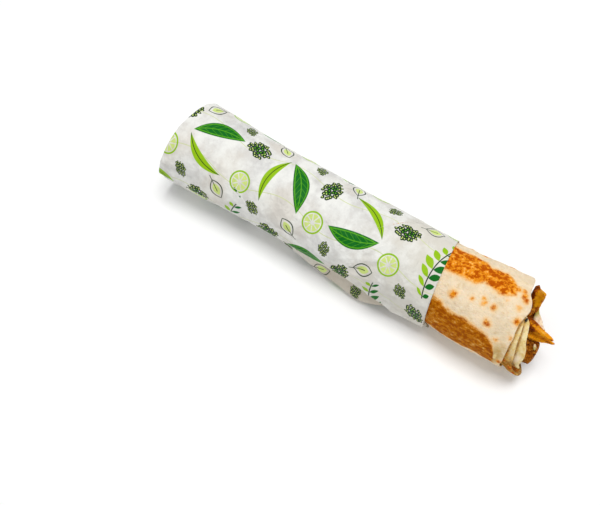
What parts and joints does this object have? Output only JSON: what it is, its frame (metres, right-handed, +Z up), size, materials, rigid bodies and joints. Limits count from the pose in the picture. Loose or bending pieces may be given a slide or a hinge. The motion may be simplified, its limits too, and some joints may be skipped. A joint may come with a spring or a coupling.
{
  "type": "doner kebab sandwich",
  "caption": "Filled flatbread roll with toasted patches, most of it in a printed greaseproof paper sleeve; meat, fries and onion stick out of the open end.",
  "frame": {"origin": "centre of the bounding box's footprint, on the surface that the wrap rests on", "axes": "+X along the roll, towards its open end; +Z up; +Y is the far side of the roll"},
  "size_m": [0.2288, 0.0506, 0.0489],
  "materials": {
    "paper": "matt white greaseproof paper printed with green leaves",
    "bread": null,
    "meat": null,
    "fries": null,
    "onion": null,
    "speck": null
  },
  "bodies": {
    "root": {"paper_wrap": "paper", "flatbread": "bread", "doner_meat": "meat", "char_speck": "speck", "fry_across": "fries", "fry_pointed_upper": "fries", "fry_pointed_lower": "fries", "onion_strip": "onion", "onion_bit": "onion"}
  },
  "joints": []
}
